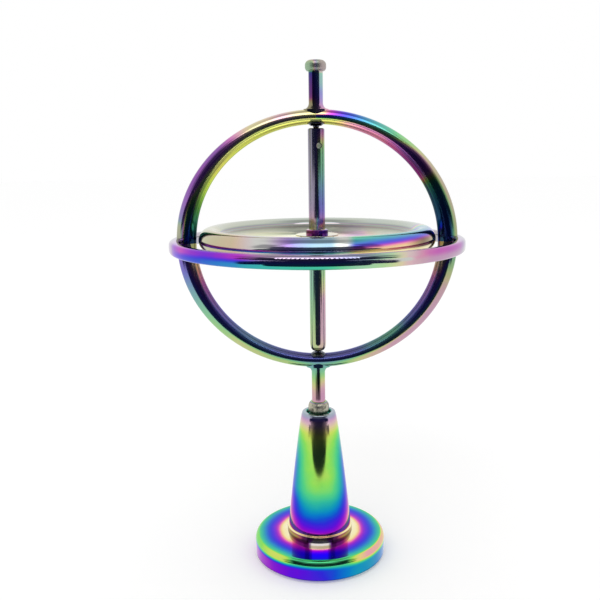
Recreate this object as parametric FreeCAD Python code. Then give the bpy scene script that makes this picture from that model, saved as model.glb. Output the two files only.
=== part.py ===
import FreeCAD, Part
import math
import os

# Gyroscope on its stand, upright and at rest. Millimetres, +Z up, +X to the right,
# origin at the centre of the stand's underside. Every turned piece stands on the Z axis.

V = FreeCAD.Vector

# ---- driving dimensions: the stand -------------------------------------------------

pad_radius = 14.2            # foam pad under the base
pad_thickness = 0.8
pad_recess_depth = 0.5       # how much of the pad sits inside the base

base_radius = 15.35
base_height = 5.1            # table to the base's top face
base_edge_drop = 1.5         # the top edge is rounded to a quarter ellipse
base_edge_run = 1.2
base_foot_chamfer = 0.35

column_height = 29.7         # base top to the rim of the cup
foot_radius = 7.7            # flange at the column's foot
foot_height = 1.8
foot_edge_round = 0.15
column_radius = 7.35         # column just above its foot
column_foot_fillet = 0.15
column_foot_pull = 1.45      # how slowly the taper leaves the vertical
column_shoulder_radius = 4.5
column_shoulder_drop = 0.9   # shoulder below the rim
spigot_radius = 4.0          # locates the column in the base
spigot_length = 0.6

cup_radius = 2.75            # socket that carries the gyroscope's lower knob
cup_depth = 1.15
cup_floor_round = 0.35
cup_lip_width = 1.1
cup_lip_round = 0.3          # both edges of the lip

screw_radius = 1.45          # screw that holds the column on the base
screw_head_radius = 2.75
screw_head_height = 1.0
screw_reach = 8.0            # into the column, above the base's top face
screw_slot_width = 0.6
screw_slot_depth = 0.5

# ---- driving dimensions: the gyroscope frame ---------------------------------------

ring_side_gap = 0.75         # between the disc's rim and the upright ring's inside
ring_side_width = 4.4
ring_pole_width = 3.2        # the ring is thicker at its sides than at the poles
ring_squash = 1.3            # by this its inside is less in half height than in half width
ring_depth = 3.3
ring_edge_round = 1.5

level_proud = 1.25           # the ring round the waist stands out beyond the upright ring
level_width = 2.3            # measured along the radius
level_height = 2.75
level_edge_round = 1.1
level_drop = 0.22            # its middle plane below the upright ring's centre

pin_radius = 0.6             # pins through both crossings
pin_bite = 1.6               # how deep a pin goes into the upright ring
pin_set_back = 0.1           # pin head below the level ring's outer surface

stem_radius = 1.55
lower_stem_length = 8.2
upper_stem_length = 7.9
stem_root_depth = 1.2        # how far a stem reaches down round the ring's tube
stem_flare_height = 1.3      # the stem spreads along the ring at its root
stem_flare_spread = 1.15
foot_knob_radius = 2.4
foot_knob_height = 3.55
foot_knob_round = 1.72
top_knob_radius = 2.27
top_knob_height = 2.25
top_knob_round = 1.05
knob_neck_cut = 0.25         # share of a knob's inner round turned away at the stem

pivot_radius = 0.7           # pointed pivot screw through the ring and into the stem
pivot_reach = 4.0            # beyond the ring's outer surface
pivot_shoulder_gap = 0.28    # where its point starts, outside the axle's end
pivot_point_half_angle = 30.0
pivot_tip_radius = 0.12
nut_across_flats = 3.7       # lock nut sunk into the ring, turned to a cone below
nut_thickness = 0.8
nut_rim = 0.12               # full hexagon left above the cone
nut_small_radius = 1.15
nut_seat_depth = 0.45

# ---- driving dimensions: the rotor -------------------------------------------------

axle_radius = 1.81
axle_end_gap = 0.85          # ring to axle end, where the pivot point shows
axle_upper_chamfer = 0.2
axle_lower_taper = 1.7       # the lower end is drawn in to a blunt nose
axle_nose_radius = 1.2
string_hole_radius = 0.65
string_hole_below_end = 3.7
string_hole_turn = 22.0      # degrees from the front towards +X

bearing_radius = 1.05        # cup pressed into each end of the axle
bearing_length = 2.0

rotor_raise = 1.0            # disc above the upright ring's centre
rim_radius = 26.1            # outermost radius of the disc
rim_section_radius = 2.55    # the rim is a round bead
web_half_rim = 0.95          # half thickness of the dished web at the rim
web_half_middle = 0.5
web_half_hub = 0.6
web_rim_fillet = 0.5
hub_radius = 4.75
hub_half = 0.75
collar_radius = 2.45
collar_height = 1.1
collar_chamfer = 0.2

# ---- clearances --------------------------------------------------------------------

press_clearance = 0.02       # between pieces of one body that are pressed or screwed
seat_clearance = 0.05        # round the level ring in its seats, and the pad in its recess
screw_clearance = 0.15
pivot_clearance = 0.08       # round a pivot point in its cup
pivot_end_clearance = 0.02
overshoot = 1.0              # how far a cutting tool runs past the surface it opens

# ---- sizes and heights that follow -------------------------------------------------

ring_inner_x = rim_radius + ring_side_gap
ring_outer_x = ring_inner_x + ring_side_width
ring_inner_z = ring_inner_x - ring_squash
ring_outer_z = ring_inner_z + ring_pole_width
level_outer_radius = ring_outer_x + level_proud
level_inner_radius = level_outer_radius - level_width

base_underside = pad_thickness - pad_recess_depth
rim_z = base_height + column_height
cup_floor_z = rim_z - cup_depth
stem_foot_z = cup_floor_z + foot_knob_height
centre_z = stem_foot_z + lower_stem_length + ring_outer_z
level_z = centre_z - level_drop
rotor_z = centre_z + rotor_raise
axle_half_length = ring_inner_z - axle_end_gap
axle_end_z = centre_z + axle_half_length
pivot_bore_radius = pivot_radius + press_clearance
pivot_slope = math.tan(math.radians(pivot_point_half_angle))
pivot_point_length = (pivot_radius - pivot_tip_radius) / pivot_slope
pivot_tip_z = axle_end_z + pivot_shoulder_gap - pivot_point_length
nut_corner_radius = nut_across_flats / math.sqrt(3)


# ---- helpers -----------------------------------------------------------------------

def at(radius, z):
    """A point of a turned outline, in the XZ plane."""
    return V(radius, 0, z)


def line(start, end):
    return Part.LineSegment(start, end).toShape()


def arc(start, middle, end):
    return Part.Arc(start, middle, end).toShape()


def quarter(start, end, centre):
    """Arc of less than half a turn about a centre."""
    half_way = (start - centre) + (end - centre)
    return arc(start, centre + half_way.normalize() * (start - centre).Length, end)


def curve(*poles):
    bezier = Part.BezierCurve()
    bezier.setPoles(list(poles))
    return bezier.toShape()


def quarter_ellipse(start, end, corner):
    """Quarter of an ellipse that leaves start and reaches end along the sides of a corner."""
    pull = 4 / 3 * (math.sqrt(2) - 1)
    return curve(start, start + (corner - start) * pull, end + (corner - end) * pull, end)


def turned(edges):
    """Solid of revolution about Z from a closed outline."""
    face = Part.Face(Part.Wire(edges))
    return face.revolve(V(0, 0, 0), V(0, 0, 1), 360)


def polyline(*points):
    return [line(a, b) for a, b in zip(points, points[1:])]


def rod(radius, low, high):
    return Part.makeCylinder(radius, high - low, V(0, 0, low))


def cone(low_radius, high_radius, low, high):
    return Part.makeCone(low_radius, high_radius, high - low, V(0, 0, low))


def below_centre(shape):
    """The same piece at the lower pole of the frame."""
    return shape.mirror(V(0, 0, centre_z), V(0, 0, 1))


def save(name, shape):
    shape = shape.removeSplitter()
    shape.exportStep("parts/" + name + ".step")
    print(name, "solids", len(shape.Solids), "valid", shape.isValid(), "volume", round(shape.Volume, 2))


# ---- the stand ---------------------------------------------------------------------

def base_pad():
    return rod(pad_radius, 0, pad_thickness)


def stand_base():
    side_top = base_height - base_edge_drop
    face_radius = base_radius - base_edge_run
    edges = polyline(
        at(0, base_underside),
        at(base_radius - base_foot_chamfer, base_underside),
        at(base_radius, base_underside + base_foot_chamfer),
        at(base_radius, side_top),
    )
    edges.append(quarter_ellipse(at(base_radius, side_top), at(face_radius, base_height),
                                 at(base_radius, base_height)))
    edges += polyline(at(face_radius, base_height), at(0, base_height), at(0, base_underside))
    base = turned(edges)
    recess = rod(pad_radius + seat_clearance, base_underside, pad_thickness)
    head_pocket = rod(screw_head_radius + screw_clearance, pad_thickness,
                      pad_thickness + screw_head_height)
    shank_hole = rod(screw_radius + screw_clearance, pad_thickness, base_height)
    spigot_hole = rod(spigot_radius + seat_clearance, base_height - spigot_length, base_height)
    return base.cut(recess).cut(head_pocket).cut(shank_hole).cut(spigot_hole)


def stand_column():
    foot_top = base_height + foot_height
    foot_side = foot_top - foot_edge_round
    taper_z = foot_top + column_foot_fillet
    lip_z = rim_z - cup_lip_round
    lip_outer = cup_radius + cup_lip_width
    edges = polyline(
        at(0, base_height - spigot_length),
        at(spigot_radius, base_height - spigot_length),
        at(spigot_radius, base_height),
        at(foot_radius, base_height),
        at(foot_radius, foot_side),
    )
    edges.append(quarter(at(foot_radius, foot_side), at(foot_radius - foot_edge_round, foot_top),
                         at(foot_radius - foot_edge_round, foot_side)))
    edges += polyline(at(foot_radius - foot_edge_round, foot_top),
                      at(column_radius + column_foot_fillet, foot_top))
    edges.append(quarter(at(column_radius + column_foot_fillet, foot_top),
                         at(column_radius, taper_z),
                         at(column_radius + column_foot_fillet, taper_z)))
    edges.append(curve(
        at(column_radius, taper_z),
        at(column_radius, taper_z + column_foot_pull),
        at(column_shoulder_radius, rim_z - column_shoulder_drop),
        at(lip_outer, lip_z),
    ))
    edges.append(quarter(at(lip_outer, lip_z), at(lip_outer - cup_lip_round, rim_z),
                         at(lip_outer - cup_lip_round, lip_z)))
    edges.append(line(at(lip_outer - cup_lip_round, rim_z), at(cup_radius + cup_lip_round, rim_z)))
    edges.append(quarter(at(cup_radius + cup_lip_round, rim_z), at(cup_radius, lip_z),
                         at(cup_radius + cup_lip_round, lip_z)))
    edges.append(line(at(cup_radius, lip_z), at(cup_radius, cup_floor_z + cup_floor_round)))
    edges.append(quarter(at(cup_radius, cup_floor_z + cup_floor_round),
                         at(cup_radius - cup_floor_round, cup_floor_z),
                         at(cup_radius - cup_floor_round, cup_floor_z + cup_floor_round)))
    edges += polyline(at(cup_radius - cup_floor_round, cup_floor_z), at(0, cup_floor_z),
                      at(0, base_height - spigot_length))
    thread_hole = rod(screw_radius + press_clearance, base_height - spigot_length,
                      base_height + screw_reach + screw_clearance)
    return turned(edges).cut(thread_hole)


def base_screw():
    head = rod(screw_head_radius, pad_thickness, pad_thickness + screw_head_height)
    shank = rod(screw_radius, pad_thickness, base_height + screw_reach)
    slot = Part.makeBox(3 * screw_head_radius, screw_slot_width, screw_slot_depth,
                        V(-1.5 * screw_head_radius, -screw_slot_width / 2, pad_thickness))
    return head.fuse(shank).cut(slot)


# ---- the gyroscope frame -----------------------------------------------------------

def oval_slab(half_x, half_z, depth):
    oval = Part.Ellipse(V(half_x, 0, centre_z), V(0, 0, centre_z + half_z), V(0, 0, centre_z))
    face = Part.Face(Part.Wire([oval.toShape()]))
    face.translate(V(0, -depth / 2, 0))
    return face.extrude(V(0, depth, 0))


def ring_blank():
    """The upright ring before its holes: an oval band with all four edges rounded."""
    band = oval_slab(ring_outer_x, ring_outer_z, ring_depth)
    band = band.cut(oval_slab(ring_inner_x, ring_inner_z, 2 * ring_depth))
    rims = [e for e in band.Edges if abs(abs(e.BoundBox.Center.y) - ring_depth / 2) < 1e-6
            and e.BoundBox.YLength < 1e-6 and e.Length > ring_inner_z]
    return band.makeFillet(ring_edge_round, rims)


def pole_holes():
    """Pivot bore and lock-nut seat at the upper pole."""
    inside = centre_z + ring_inner_z - overshoot
    bore = rod(pivot_bore_radius, inside, centre_z + ring_outer_z + overshoot)
    seat = rod(nut_corner_radius + seat_clearance, inside, centre_z + ring_inner_z + nut_seat_depth)
    return bore.fuse(seat)


def pin_rod(radius, inner_x, outer_x):
    return Part.makeCylinder(radius, outer_x - inner_x, V(inner_x, 0, level_z), V(1, 0, 0))


def level_seat():
    """Room that the level ring takes in the flanks of the upright ring."""
    inner = level_inner_radius - seat_clearance
    half = level_height / 2 + seat_clearance
    outside = rod(level_outer_radius + overshoot, level_z - half, level_z + half)
    return outside.cut(rod(inner, level_z - half, level_z + half))


def upright_ring(blank):
    ring = blank.cut(pole_holes()).cut(below_centre(pole_holes())).cut(level_seat())
    pin_hole = pin_rod(pin_radius + press_clearance, level_inner_radius - pin_bite,
                       level_outer_radius)
    return ring.cut(pin_hole).cut(pin_hole.mirror(V(0, 0, 0), V(1, 0, 0)))


def level_ring():
    low = level_z - level_height / 2
    high = level_z + level_height / 2
    r = level_edge_round
    inner = level_inner_radius
    outer = level_outer_radius
    edges = [
        line(at(inner + r, low), at(outer - r, low)),
        quarter(at(outer - r, low), at(outer, low + r), at(outer - r, low + r)),
        line(at(outer, low + r), at(outer, high - r)),
        quarter(at(outer, high - r), at(outer - r, high), at(outer - r, high - r)),
        line(at(outer - r, high), at(inner + r, high)),
        quarter(at(inner + r, high), at(inner, high - r), at(inner + r, high - r)),
        line(at(inner, high - r), at(inner, low + r)),
        quarter(at(inner, low + r), at(inner + r, low), at(inner + r, low + r)),
    ]
    pin_hole = pin_rod(pin_radius + press_clearance, inner - overshoot, outer + overshoot)
    return turned(edges).cut(pin_hole).cut(pin_hole.mirror(V(0, 0, 0), V(1, 0, 0)))


def ring_pin():
    return pin_rod(pin_radius, level_inner_radius - pin_bite + press_clearance,
                   level_outer_radius - pin_set_back)


def stem_flare():
    """Root of a stem: it spreads along the ring in a hollow curve and keeps its depth across it."""
    pole = centre_z + ring_outer_z
    sections = [(stem_radius + stem_flare_spread, -stem_root_depth)]
    for turn in (90, 60, 40, 20, 0):
        t = math.radians(turn)
        sections.append((stem_radius + stem_flare_spread * (1 - math.cos(t)),
                         stem_flare_height * (1 - math.sin(t))))
    return Part.makeLoft([oval_wire(r, stem_radius, pole + z) for r, z in sections], True)


def oval_wire(half_x, half_y, z):
    """Level oval round the axis, or a circle where both half widths are the same."""
    if half_x - half_y < 1e-6:
        return Part.Wire([Part.makeCircle(half_x, V(0, 0, z))])
    return Part.Wire([Part.Ellipse(V(half_x, 0, z), V(0, half_y, z), V(0, 0, z)).toShape()])


def finial(blank, stem_length, knob_radius, knob_height, knob_round):
    """Stem and knob turned in one piece, saddled onto the ring's upper pole."""
    pole = centre_z + ring_outer_z
    neck = pole + stem_length
    end = neck + knob_height
    corner = knob_radius - knob_round
    rise = (1 - knob_neck_cut) * knob_round
    shoulder = corner + math.sqrt(knob_round ** 2 - rise ** 2)
    edges = polyline(
        at(0, pole + stem_flare_height),
        at(stem_radius, pole + stem_flare_height),
        at(stem_radius, neck),
        at(shoulder, neck),
    )
    edges.append(quarter(at(shoulder, neck), at(knob_radius, neck + rise), at(corner, neck + rise)))
    edges.append(line(at(knob_radius, neck + rise), at(knob_radius, end - knob_round)))
    edges.append(quarter(at(knob_radius, end - knob_round), at(corner, end),
                         at(corner, end - knob_round)))
    edges += polyline(at(corner, end), at(0, end), at(0, pole + stem_flare_height))
    bore = rod(pivot_bore_radius, pole - stem_root_depth, pole + pivot_reach + press_clearance)
    return turned(edges).fuse(stem_flare()).cut(bore).cut(blank)


def pivot_screw():
    """Pointed screw at the upper pole: its shank reaches up into the stem."""
    shoulder = pivot_tip_z + pivot_point_length
    point = cone(pivot_tip_radius, pivot_radius, pivot_tip_z, shoulder)
    shank = rod(pivot_radius, shoulder, centre_z + ring_outer_z + pivot_reach)
    return point.fuse(shank)


def lock_nut():
    """Hexagonal nut sunk into the inside of the upper pole, its lower side turned to a cone."""
    top = centre_z + ring_inner_z + nut_seat_depth
    bottom = top - nut_thickness
    turns = [math.radians(60 * i) for i in range(7)]
    corners = [V(nut_corner_radius * math.cos(t), nut_corner_radius * math.sin(t), bottom)
               for t in turns]
    hexagon = Part.Face(Part.makePolygon(corners)).extrude(V(0, 0, nut_thickness))
    turned_side = cone(nut_small_radius, nut_corner_radius, bottom, top - nut_rim)
    full_rim = rod(nut_corner_radius, top - nut_rim, top)
    return hexagon.common(turned_side.fuse(full_rim)).cut(rod(pivot_bore_radius, bottom, top))


# ---- the rotor ---------------------------------------------------------------------

def bearing_pocket():
    return rod(bearing_radius + press_clearance, axle_end_z - bearing_length - press_clearance,
               axle_end_z + overshoot)


def axle():
    low = centre_z - axle_half_length
    high = axle_end_z
    r = axle_radius
    edges = [line(at(0, low), at(axle_nose_radius, low))]
    edges.append(quarter_ellipse(at(axle_nose_radius, low), at(r, low + axle_lower_taper),
                                 at(r, low)))
    edges += polyline(at(r, low + axle_lower_taper), at(r, high - axle_upper_chamfer),
                      at(r - axle_upper_chamfer, high), at(0, high), at(0, low))
    turn = math.radians(string_hole_turn)
    across = V(math.sin(turn), -math.cos(turn), 0)
    middle = V(0, 0, high - string_hole_below_end)
    string_hole = Part.makeCylinder(string_hole_radius, 4 * r, middle - across * 2 * r, across)
    pocket = bearing_pocket()
    return turned(edges).cut(pocket).cut(below_centre(pocket)).cut(string_hole)


def bearing_cup():
    """Cup in the upper end of the axle, open upwards round the pivot point."""
    floor = pivot_tip_z - pivot_end_clearance
    floor_radius = pivot_tip_radius + pivot_clearance
    mouth_radius = floor_radius + (axle_end_z - floor) * pivot_slope
    plug = rod(bearing_radius, axle_end_z - bearing_length, axle_end_z)
    return plug.cut(cone(floor_radius, mouth_radius, floor, axle_end_z))


def rotor_disc():
    bore = axle_radius + press_clearance
    rim_centre = rim_radius - rim_section_radius
    joint = rim_centre - math.sqrt(rim_section_radius ** 2 - web_half_rim ** 2)
    middle = (hub_radius + joint) / 2
    up = rotor_z
    edges = polyline(at(bore, up - hub_half), at(bore, up + hub_half),
                     at(hub_radius, up + hub_half), at(hub_radius, up + web_half_hub))
    edges.append(arc(at(hub_radius, up + web_half_hub), at(middle, up + web_half_middle),
                     at(joint, up + web_half_rim)))
    edges.append(arc(at(joint, up + web_half_rim), at(rim_radius, up), at(joint, up - web_half_rim)))
    edges.append(arc(at(joint, up - web_half_rim), at(middle, up - web_half_middle),
                     at(hub_radius, up - web_half_hub)))
    edges += polyline(at(hub_radius, up - web_half_hub), at(hub_radius, up - hub_half),
                      at(bore, up - hub_half))
    disc = turned(edges)
    corners = [e for e in disc.Edges if e.BoundBox.ZLength < 1e-6
               and abs(e.BoundBox.XLength / 2 - joint) < 1e-3]
    return disc.makeFillet(web_rim_fillet, corners)


def hub_collar():
    """Collar on the upper face of the hub."""
    low = rotor_z + hub_half
    high = low + collar_height
    bore = axle_radius + press_clearance
    edges = polyline(
        at(bore, low), at(collar_radius, low), at(collar_radius, high - collar_chamfer),
        at(collar_radius - collar_chamfer, high), at(bore, high), at(bore, low),
    )
    return turned(edges)


# ---- build -------------------------------------------------------------------------

def main():
    os.makedirs("parts", exist_ok=True)
    blank = ring_blank()

    save("base_pad", base_pad())
    save("stand_base", stand_base())
    save("stand_column", stand_column())
    save("base_screw", base_screw())

    save("upright_ring", upright_ring(blank))
    save("level_ring", level_ring())
    save("right_ring_pin", ring_pin())
    save("left_ring_pin", ring_pin().mirror(V(0, 0, 0), V(1, 0, 0)))
    save("top_finial", finial(blank, upper_stem_length, top_knob_radius, top_knob_height,
                              top_knob_round))
    save("foot_finial", below_centre(finial(blank, lower_stem_length, foot_knob_radius,
                                            foot_knob_height, foot_knob_round)))
    save("upper_pivot_screw", pivot_screw())
    save("lower_pivot_screw", below_centre(pivot_screw()))
    save("upper_lock_nut", lock_nut())
    save("lower_lock_nut", below_centre(lock_nut()))

    save("axle", axle())
    save("upper_bearing_cup", bearing_cup())
    save("lower_bearing_cup", below_centre(bearing_cup()))
    save("rotor_disc", rotor_disc())
    save("upper_hub_collar", hub_collar())
    save("lower_hub_collar", hub_collar().mirror(V(0, 0, rotor_z), V(0, 0, 1)))


main()
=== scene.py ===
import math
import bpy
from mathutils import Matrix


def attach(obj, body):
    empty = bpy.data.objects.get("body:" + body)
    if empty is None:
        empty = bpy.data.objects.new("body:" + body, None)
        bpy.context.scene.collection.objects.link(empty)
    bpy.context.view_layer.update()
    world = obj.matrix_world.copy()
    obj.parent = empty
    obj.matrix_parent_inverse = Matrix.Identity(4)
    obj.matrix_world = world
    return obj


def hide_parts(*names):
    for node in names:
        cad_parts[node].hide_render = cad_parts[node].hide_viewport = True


bl_info = {
    "name": "Gyroscope on Stand",
    "version": (1, 0, 0),
    "blender": (4, 5, 0),
    "location": "View3D > Sidebar > Gyroscope",
    "description": "Smooth turned pieces, an iridescent film and a white studio for the gyroscope",
    "category": "Object",
}

import bmesh
import bpy
from bpy.props import FloatProperty, FloatVectorProperty, IntProperty, PointerProperty
from mathutils import Matrix, Vector

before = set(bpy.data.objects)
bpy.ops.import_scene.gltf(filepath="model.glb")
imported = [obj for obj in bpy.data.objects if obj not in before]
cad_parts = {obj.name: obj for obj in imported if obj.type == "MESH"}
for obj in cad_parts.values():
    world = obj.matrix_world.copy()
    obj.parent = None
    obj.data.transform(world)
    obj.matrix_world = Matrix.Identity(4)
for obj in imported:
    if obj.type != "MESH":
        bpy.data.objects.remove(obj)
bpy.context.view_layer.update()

MM = 0.001

# Points closer than TOUCHING are one. Edges with an angle of more than SHARP degrees stay sharp.
# Each straight line of an outline ends in a face of at most END_FACE.
TOUCHING = 1e-7
SHARP = 32.0
END_FACE = 0.05 * MM


# ---- settings ------------------------------------------------------------------------

def size(name, description, millimetres):
    """A length that is shown in the scene's own units."""
    return FloatProperty(name=name, description=description, default=millimetres * MM,
                         min=0.0, precision=5, unit="LENGTH", subtype="DISTANCE")


def colour(name, description, rgb):
    """A colour with linear amounts of red, green and blue."""
    return FloatVectorProperty(name=name, description=description, default=rgb, size=3,
                               min=0.0, max=1.0, subtype="COLOR")


def factor(name, description, value, low=0.0, high=1.0):
    """A share, shown as a slider."""
    return FloatProperty(name=name, description=description, default=value, min=low, max=high,
                         subtype="FACTOR")


class StandSettings(bpy.types.PropertyGroup):
    pad_radius: size("Pad radius", "Foam pad under the base", 14.2)
    pad_thickness: size("Pad thickness", "Foam pad, from the table up", 0.8)
    base_underside: size("Base underside", "Table to the metal of the base", 0.3)
    base_radius: size("Base radius", "Round base", 15.35)
    base_height: size("Base height", "Table to the top face of the base", 5.1)
    edge_drop: size("Edge drop", "Height of the base's rounded top edge", 1.5)
    edge_run: size("Edge run", "Width of the base's rounded top edge", 1.2)
    crown: size("Crown", "How far the base's top rises towards the column", 0.4)
    foot_radius: size("Foot radius", "Flange at the column's foot", 7.7)
    foot_height: size("Foot height", "Height of the column's flange", 1.8)
    foot_round: size("Foot rounding", "Upper edge of the column's flange", 0.12)
    column_radius: size("Column radius", "Column just above its flange", 7.35)
    column_fillet: size("Column fillet", "Hollow between column and flange", 0.12)
    column_pull: size("Column pull", "How slowly the taper leaves the vertical", 1.45)
    shoulder_radius: size("Shoulder radius", "Column just under its cup", 4.5)
    shoulder_drop: size("Shoulder drop", "Shoulder below the rim", 0.9)
    rim_height: size("Rim height", "Table to the rim of the cup", 34.8)
    cup_radius: size("Cup radius", "Socket for the gyroscope's lower knob", 2.75)
    cup_depth: size("Cup depth", "Rim to the floor of the cup", 1.15)
    cup_round: size("Cup floor rounding", "Hollow round the floor of the cup", 0.35)
    lip_width: size("Lip width", "Rim of the cup", 1.1)
    lip_round: size("Lip rounding", "Both edges of the lip", 0.3)


class FrameSettings(bpy.types.PropertyGroup):
    centre_height: size("Centre height", "Table to the middle of the rings", 74.15)
    outer_x: size("Outer half width", "Upright ring, outside", 31.25)
    outer_z: size("Outer half height", "Upright ring, outside", 28.75)
    inner_x: size("Inner half width", "Upright ring, inside", 26.85)
    inner_z: size("Inner half height", "Upright ring, inside", 25.55)
    depth: size("Depth", "Upright ring, front to back", 3.3)
    level_outer: size("Level ring radius", "Level ring, outside", 32.5)
    level_inner: size("Level ring opening", "Level ring, inside", 30.2)
    level_height: size("Level ring height", "Level ring, top to bottom", 2.75)
    level_drop: size("Level ring drop", "Level ring below the upright ring's centre", 0.22)
    pin_radius: size("Pin radius", "Pins through the crossings of the rings", 0.6)
    pin_inner: size("Pin inner end", "Axis to the hidden end of a pin", 28.62)
    pin_outer: size("Pin outer end", "Axis to the seen end of a pin", 32.4)
    pin_hole: size("Pin hole radius", "Hole for a pin in the level ring", 0.62)
    stem_radius: size("Stem radius", "Stems above and below the upright ring", 1.55)
    stem_root: size("Stem root", "How far a stem reaches into the ring's tube", 1.2)
    flare_height: size("Flare height", "Root of a stem, where it spreads along the ring", 1.3)
    flare_spread: size("Flare spread", "How far the root spreads on each side", 1.15)
    upper_stem: size("Upper stem", "Ring to the upper knob", 7.9)
    lower_stem: size("Lower stem", "Ring to the lower knob", 8.2)
    top_knob_radius: size("Upper knob radius", "Knob on top", 2.27)
    top_knob_height: size("Upper knob height", "Knob on top", 2.25)
    top_knob_round: size("Upper knob rounding", "Knob on top", 1.05)
    foot_knob_radius: size("Lower knob radius", "Knob in the cup", 2.4)
    foot_knob_height: size("Lower knob height", "Knob in the cup", 3.55)
    foot_knob_round: size("Lower knob rounding", "Knob in the cup", 1.72)
    fullness: factor("Fullness", "Upright ring's section: 1 is an ellipse, less is fuller", 1.0)
    level_fullness: factor("Level fullness", "Section of the level ring", 0.6)
    neck_cut: factor("Neck cut", "Share of a knob's inner round turned away at the stem", 0.25)
    nut_flats: size("Nut across flats", "Lock nuts at the poles", 3.7)
    nut_small_radius: size("Nut small radius", "Face of a lock nut towards the axle", 1.15)
    nut_seat: size("Nut seat", "Lock nut sunk into the ring", 0.45)
    nut_thickness: size("Nut thickness", "Lock nut in all", 0.8)
    nut_rim: size("Nut rim", "Full hexagon above the nut's cone", 0.12)
    pivot_radius: size("Pivot radius", "Pointed pivot screws", 0.7)
    pivot_tip_radius: size("Pivot tip radius", "Blunt end of a pivot point", 0.12)
    pivot_tip: size("Pivot tip", "Centre of the rings to a pivot's tip", 23.975)
    pivot_shoulder: size("Pivot shoulder", "Centre of the rings to the start of a point", 24.98)
    pivot_end: size("Pivot end", "Centre of the rings to the hidden end of a pivot", 32.75)


class RotorSettings(bpy.types.PropertyGroup):
    raised: size("Disc raise", "Disc above the middle of the rings", 1.0)
    rim_radius: size("Rim radius", "Outermost radius of the disc", 26.1)
    bead_radius: size("Bead radius", "Round section of the rim", 2.55)
    web_rim: size("Web at the rim", "Half thickness of the web at the bead", 0.95)
    web_middle: size("Web in the middle", "Half thickness of the web half way", 0.5)
    web_hub: size("Web at the hub", "Half thickness of the web at the hub", 0.6)
    web_fillet: size("Web fillet", "Hollow between web and bead", 0.5)
    hub_radius: size("Hub radius", "Raised hub of the disc", 4.75)
    hub_half: size("Hub half height", "Raised hub of the disc", 0.75)
    collar_radius: size("Collar radius", "Collars on both sides of the hub", 2.45)
    collar_height: size("Collar height", "Collars on both sides of the hub", 1.1)
    collar_chamfer: size("Collar chamfer", "Collars on both sides of the hub", 0.2)
    axle_radius: size("Axle radius", "Axle through the disc", 1.81)
    axle_half: size("Axle half length", "Centre of the rings to an end of the axle", 24.7)
    axle_chamfer: size("Axle chamfer", "Upper end of the axle", 0.2)
    axle_taper: size("Axle taper", "Length of the lower end's blunt nose", 1.7)
    axle_nose: size("Axle nose radius", "End face of the blunt nose", 1.2)
    bore: size("Bore play", "Between the axle and what sits on it", 0.02)
    cup_radius: size("Bearing radius", "Bearing cups in the axle's ends", 1.05)
    cup_length: size("Bearing length", "Bearing cups in the axle's ends", 2.0)
    cup_mouth: size("Bearing mouth radius", "Opening of a bearing cup", 0.63)
    cup_floor: size("Bearing floor radius", "Floor of a bearing cup", 0.2)
    cup_depth: size("Bearing depth", "Depth of a bearing cup's opening", 0.745)
    string_hole: size("String hole radius", "Hole through the axle", 0.65)
    string_drop: size("String hole drop", "Upper end of the axle to the hole", 3.7)
    string_turn: FloatProperty(name="String hole turn", default=math.radians(22.0),
                               description="From the front towards the right",
                               subtype="ANGLE", unit="ROTATION")


class FinishSettings(bpy.types.PropertyGroup):
    film_shift: factor("Film shift", "Makes the film thicker or thinner everywhere", 0.0, -1.0)
    pale: colour("Pale film", "Where the film is too thick for clear colours", (0.58, 0.59, 0.55))
    film_waver: factor("Film waver", "Unevenness of the film's thickness", 0.05)
    gloss: factor("Roughness", "Roughness of the polished metal", 0.07)
    smudges: factor("Smudges", "How much handling dulls the metal in places", 0.07)
    turning_marks: factor("Turning marks", "Strength of the fine marks left by the lathe", 0.035)
    pivot_steel: colour("Pivot steel", "Pivot screws and lock nuts", (0.10, 0.11, 0.15))
    brass: colour("Brass", "Bearing cups", (0.72, 0.47, 0.18))
    zinc: colour("Zinc", "Screw under the base", (0.56, 0.58, 0.60))
    foam: colour("Foam", "Pad under the base", (0.030, 0.030, 0.034))


class StudioSettings(bpy.types.PropertyGroup):
    floor_half: size("Floor half width", "White sheet that the stand is on", 3000.0)
    floor_colour: colour("Floor", "White sheet that the stand is on", (0.84, 0.84, 0.84))
    gap_angle: FloatProperty(name="Gap half angle", default=math.radians(62.0),
                             description="Unlit opening at the front of the white tent",
                             subtype="ANGLE", unit="ROTATION")
    gap_top: FloatProperty(name="Gap top", default=math.radians(19.0),
                           description="How high the unlit opening reaches",
                           subtype="ANGLE", unit="ROTATION")
    bulbs: IntProperty(name="Bulbs", description="Slim lamps in a row before the level ring",
                       default=19, min=0)
    bulb_distance: size("Bulb distance", "Axis to the row of slim lamps", 45.0)
    bulb_height: size("Bulb height", "Table to the middle of a slim lamp", 83.0)
    bulb_step: size("Bulb step", "From one slim lamp to the next", 1.75)
    bulb_width: size("Bulb width", "Width of a slim lamp", 0.95)
    bulb_length: size("Bulb length", "Height of a slim lamp", 5.5)
    bulb_reach: size("Bulb reach", "How far away metal still mirrors a slim lamp", 19.4)
    lamp_power: FloatProperty(name="Lamp power", description="Soft lamp above the front",
                              default=0.6, min=0.0, unit="POWER")


class GyroscopeSettings(bpy.types.PropertyGroup):
    stand: PointerProperty(type=StandSettings)
    rings: PointerProperty(type=FrameSettings)
    rotor: PointerProperty(type=RotorSettings)
    finish: PointerProperty(type=FinishSettings)
    studio: PointerProperty(type=StudioSettings)
    round_steps: IntProperty(name="Steps round", default=256, min=24, max=512,
                             description="Faces round each turned piece")


def settings():
    """The settings of the scene."""
    return bpy.context.scene.gyroscope


# ---- outlines and turned pieces ------------------------------------------------------

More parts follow.
